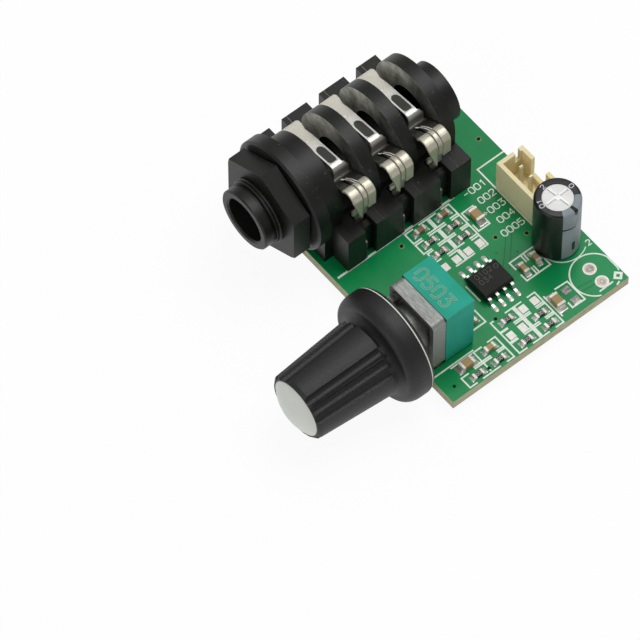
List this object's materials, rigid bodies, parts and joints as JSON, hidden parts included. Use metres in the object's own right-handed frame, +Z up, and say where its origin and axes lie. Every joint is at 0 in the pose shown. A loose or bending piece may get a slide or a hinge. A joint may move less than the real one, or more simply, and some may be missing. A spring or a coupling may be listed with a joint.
{
  "type": "preamplifier board",
  "caption": "Small preamplifier circuit board with an open-frame 6.35 mm jack, a potentiometer with a round knob, a wire header and surface-mounted parts.",
  "frame": {"origin": "on the jack's axis, in the plane where a panel meets the front of the jack's flange", "axes": "+Y along the jack's axis from the panel to the back of the board, +Z up out of the board's component side, +X to the right seen from the panel"},
  "size_m": [0.0442, 0.0497, 0.0207],
  "materials": {
    "solder_mask": "gloss",
    "tinned_copper": "satin",
    "solder": "gloss",
    "jack_plastic": "satin",
    "nut_plastic": "satin",
    "nickel_spring": "gloss",
    "zinc": "cast",
    "green_plastic": "satin",
    "phenolic": "matt",
    "terminal_metal": "satin",
    "shaft_metal": "turned",
    "rotor_plastic": "satin",
    "wiper_metal": "satin",
    "knob_plastic": "satin",
    "cap_plastic": "satin",
    "cream_plastic": "satin",
    "pin_metal": "satin",
    "can_metal": "satin",
    "sleeve_film": "gloss",
    "bung_rubber": "matt",
    "lead_metal": "satin",
    "chip_plastic": "matt",
    "resistor_glaze": "gloss",
    "end_metal": "satin",
    "ceramic_body": "matt"
  },
  "bodies": {
    "board_assembly": {"board": "solder_mask", "tinned_pads": "tinned_copper", "solder_joints": "solder", "jack_body": "jack_plastic", "jack_nut": "nut_plastic", "sleeve_spring": "nickel_spring", "ring_spring": "nickel_spring", "tip_spring": "nickel_spring", "switch_contacts": "nickel_spring", "pot_housing": "zinc", "pot_cover": "green_plastic", "pot_element": "phenolic", "pot_terminals": "terminal_metal", "header_shroud": "cream_plastic", "header_pins": "pin_metal", "capacitor_can": "can_metal", "capacitor_sleeve": "sleeve_film", "capacitor_bung": "bung_rubber", "capacitor_leads": "lead_metal", "amplifier_body": "chip_plastic", "amplifier_leads": "lead_metal", "resistor_bodies": "resistor_glaze", "resistor_ends": "end_metal", "small_capacitor_bodies": "ceramic_body", "small_capacitor_ends": "end_metal", "large_capacitor_bodies": "ceramic_body", "large_capacitor_ends": "end_metal"},
    "knob_assembly": {"knob_body": "knob_plastic", "knob_cap": "cap_plastic", "pot_shaft": "shaft_metal", "pot_rotor": "rotor_plastic", "pot_wiper": "wiper_metal"}
  },
  "joints": [
    {"name": "knob_turn", "type": "hinge", "parent": "board_assembly", "child": "knob_assembly", "pos_m": [0.0244, 0.0022, -0.0041], "axis": [0, 1, 0], "range_deg": [-150, 150]}
  ]
}
